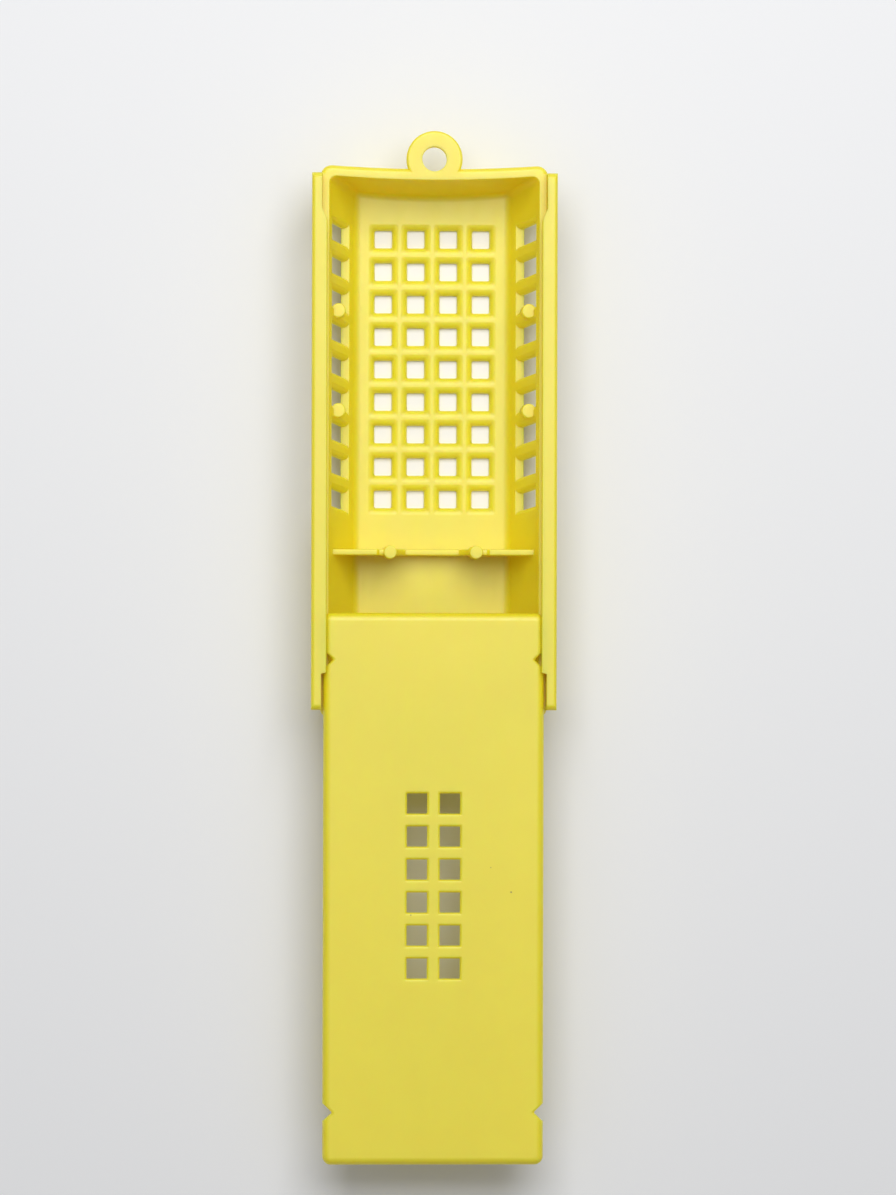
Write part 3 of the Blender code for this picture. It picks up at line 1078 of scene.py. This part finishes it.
    def _rail(self, side: Side) -> bmesh.types.BMesh:
        """Form a rail with its lip, and with a foot that fills the rim's rounding beside it.

        Args:
            side: The side that it stands on.

        Returns:
            The shape, a little longer than the finished rail.
        """
        outer = self.width / 2
        inner = outer - self.rail_wall
        tip = inner - self.lip_reach
        root = inner - self.rail_root
        seat = self.height - self.rail_sink
        shoulder = (outer - self.rail_shoulder, self.rail_top - self.rail_shoulder)
        nose = (tip + self.lip_rounding, self.rail_top - self.lip_rounding)
        outline = [(outer - self.rail_foot_edge, self.rail_foot),
                   (outer, self.rail_foot + self.rail_foot_edge)]
        outline += arc(shoulder, self.rail_shoulder, 0, 90, steps=7)
        outline += arc(nose, self.lip_rounding, 90, 180, steps=4)
        outline += [(tip, self.lip_under), (inner, self.lip_under), (inner, seat),
                    (root, seat), (root, self.rail_foot)]
        points = [(side.value * across, up) for across, up in outline]
        past = self.rail_half + self.rail_spare
        return prism(points, -past, past, Drawn.SECTION)

    def _rail_limit(self) -> bmesh.types.BMesh:
        """Form a broad slab whose rounded upper ends round off the rails' ends.

        Returns:
            The shape that a rail is kept within.
        """
        radius = self.rail_rounding
        foot = self.rail_foot - OVERRUN
        up = self.rail_top - radius + self.rail_clearance
        along = self.rail_half - radius
        outline = [(-self.rail_half, foot)]
        outline += arc((-along, up), radius, 180, 90 + self.rail_flat_angle, steps=7)
        outline += arc((along, up), radius, 90 - self.rail_flat_angle, 0, steps=7)
        outline += [(self.rail_half, foot)]
        return prism(outline, -self.width, self.width, Drawn.SIDE)

    def _lip_trim(self, side: Side, end: End) -> bmesh.types.BMesh:
        """Form what is cut from a lip at one end.

        Args:
            side: The side of the lip's rail.
            end: The end at which the lip is cut back.

        Returns:
            The shape to cut away.
        """
        inner = self.width / 2 - self.rail_wall
        inside = inner - self.lip_reach - OVERRUN
        bite = inner + self.lip_bite
        lead = self.lip_lead_ring if end is End.RING else self.lip_lead_candy
        slope = lead / self.lip_reach
        beyond = self.rail_half + OVERRUN
        outline = [(inside, self.lip_half - slope * (inner - inside)),
                   (bite, self.lip_half + slope * self.lip_bite), (bite, beyond),
                   (inside, beyond)]
        points = [(side.value * across, end.value * along) for across, along in outline]
        return prism(points, self.lip_under - OVERRUN, self.rail_top + OVERRUN, Drawn.PLAN)


@dataclass
class SlidingCover:
    """The cover that slides along the rails, drawn out as the photograph shows it."""

    length: float = 0.0836
    width: float = 0.03346
    height: float = 0.0021
    base: float = 0.0123
    travel: float = 0.0678
    plate: float = 0.0011
    skirt: float = 0.0011
    shoulder: float = 0.0012
    corner: float = 0.0013
    hollow_corner: float = 0.0005

    pitch: float = 0.0050
    pattern_shift: float = 0.00045
    rows: int = 6
    columns: int = 2
    window: float = 0.00305
    window_corner: float = 0.0001
    window_ease: float = 0.00045
    notch_from_end: float = 0.0075
    notch_depth: float = 0.00145
    notch_corner: float = 0.00025
    notch_turn: float = 45.0
    notch_ease: float = 0.0005
    ease_steps: int = 6
    ease_angle: float = 14.0

    plastic: MouldedPlastic = field(
        default_factory=lambda: MouldedPlastic("cover_plastic_satin", shift=(0.37, 0.21, 0.0)))

    def build(self) -> bpy.types.Object:
        """Build the moulding.

        Returns:
            The finished object, dressed and riding on the cover's body.
        """
        bench = Workbench()
        cover = bench.solid("cover_moulding", self._slab())
        bench.work(cover, self._hollow(), Joining.CUT, "hollow")
        bench.work(cover, self._windows(), Joining.CUT, "cover_windows")
        bench.work(cover, self._notches(), Joining.CUT, "notches")
        bench.finish(cover)
        cover.data.transform(Matrix.Translation((0, -self.travel, self.base)))
        dress(cover, self.plastic)
        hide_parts("sliding_cover")
        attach(cover, "cover")
        return cover

    def _slab(self) -> bmesh.types.BMesh:
        """Form the cover's outside, with its rounded shoulders.

        Returns:
            The shape.
        """
        size = (self.width, self.length)
        shape = tapered_box(size, size, 0, self.height, 0, self.corner)
        top = [edge for edge in shape.edges if is_level(edge, self.height)]
        round_edges(shape, top, self.shoulder, steps=9)
        return shape

    def _hollow(self) -> bmesh.types.BMesh:
        """Form the hollow under the plate.

        Returns:
            The shape to cut away.
        """
        size = (self.width - 2 * self.skirt, self.length - 2 * self.skirt)
        return tapered_box(size, size, -OVERRUN, self.height - self.plate, 0,
                           self.hollow_corner, corner_steps=4)

    def _eased_levels(self, side: float, ease: float) -> list[Point]:
        """Work out a square opening whose upper edge is rounded.

        Args:
            side: The opening's side.
            ease: Radius of the rounding.

        Returns:
            Level and side of each step, from below the cover to above it.
        """
        levels = [(-OVERRUN, side)]
        for step in range(self.ease_steps):
            angle = math.radians(step * self.ease_angle)
            levels.append((self.height - ease * (1 - math.sin(angle)),
                           side + 2 * ease * (1 - math.cos(angle))))
        return run_on(levels, self.height + SKIM)

    def _windows(self) -> bmesh.types.BMesh:
        """Form the windows, with their upper edges rounded.

        Returns:
            The shape to cut away.
        """
        shape = bmesh.new()
        levels = self._eased_levels(self.window, self.window_ease)
        for across in line_up(self.columns, self.pitch):
            for along in line_up(self.rows, self.pitch):
                square_peg(shape, levels, (across, along + self.pattern_shift),
                           self.window_corner)
        return shape

    def _notches(self) -> bmesh.types.BMesh:
        """Form the four index notches in the long edges.

        Returns:
            The shape to cut away.
        """
        shape = bmesh.new()
        levels = self._eased_levels(self.notch_depth * math.sqrt(2), self.notch_ease)
        for side in Side:
            for end in End:
                along = end.value * (self.length / 2 - self.notch_from_end) + self.pattern_shift
                square_peg(shape, levels, (side.value * self.width / 2, along),
                           self.notch_corner, self.notch_turn)
        return shape


# The room


@dataclass
class Studio:
    """Table, light and camera."""

    table_size: float = 3.0
    table_drop: float = 0.00002
    key_place: Triple = (0.018, 0.20, 0.44)
    key_size: float = 0.38
    key_power: float = 1.98
    sky: tuple[Point, ...] = ((0.0, 0.08), (0.50, 0.10), (0.72, 0.48), (0.93, 0.44),
                              (1.0, 0.34))
    camera_place: Triple = (-0.0259, -0.0237, 0.8138)
    camera_turn: Triple = (0.0, -2.006, 0.139)
    lens: float = 212.3
    sensor: float = 36.0
    clip: float = 0.01

    def build(self) -> None:
        """Set up the table, the lamp, the room's light and the camera."""
        self._table()
        self._key()
        self._room()
        self._camera()
        bpy.context.scene.view_settings.view_transform = 'Standard'

    def _table(self) -> None:
        """Lay the table under the cage."""
        shape = bmesh.new()
        bmesh.ops.create_grid(shape, x_segments=1, y_segments=1, size=self.table_size)
        bmesh.ops.translate(shape, verts=shape.verts, vec=Vector((0, 0, -self.table_drop)))
        table = Workbench.solid("table", shape)
        table.data.materials.append(TableTop().material())

    def _key(self) -> None:
        """Hang one soft lamp over the ring's end, facing the cage's middle."""
        lamp = bpy.data.lights.new("key", 'AREA')
        lamp.shape = 'SQUARE'
        lamp.size = self.key_size
        lamp.energy = self.key_power
        holder = bpy.data.objects.new("key", lamp)
        bpy.context.scene.collection.objects.link(holder)
        holder.location = self.key_place
        holder.rotation_euler = (-Vector(self.key_place)).to_track_quat('-Z', 'Y').to_euler()

    def _room(self) -> None:
        """Light the room with a white that is palest halfway up."""
        room = bpy.data.worlds.new("room")
        bpy.context.scene.world = room
        graph = Graph(room)
        way = graph.node("ShaderNodeTexCoord", {}, {}, "Generated")
        height = graph.node("ShaderNodeSeparateXYZ", {}, {"Vector": way}, "Z")
        level = graph.node("ShaderNodeValToRGB", {"stops": self.sky}, {"Fac": height}, "Color")
        light = graph.node("ShaderNodeBackground", {},
                           {"Color": (1.0, 1.0, 1.0, 1.0), "Strength": level})
        graph.node("ShaderNodeOutputWorld", {}, {"Surface": light})

    def _camera(self) -> None:
        """Set the camera where the photograph was taken from."""
        data = bpy.data.cameras.new("camera")
        data.sensor_fit = 'HORIZONTAL'
        data.sensor_width = self.sensor
        data.lens = self.lens
        data.clip_start = self.clip
        camera = bpy.data.objects.new("camera", data)
        bpy.context.scene.collection.objects.link(camera)
        turn = Euler([math.radians(angle) for angle in self.camera_turn], 'XYZ')
        camera.matrix_world = Matrix.Translation(self.camera_place) @ turn.to_matrix().to_4x4()
        bpy.context.scene.camera = camera


def main() -> None:
    """Build the studio and both mouldings, and report each piece."""
    logging.basicConfig(level=logging.INFO, format="%(name)s: %(message)s")
    Studio().build()
    for maker in (Tray(), SlidingCover()):
        piece = maker.build()
        LOG.info("%s: %d faces", piece.name, len(piece.data.polygons))


if __name__ == "__main__":
    main()
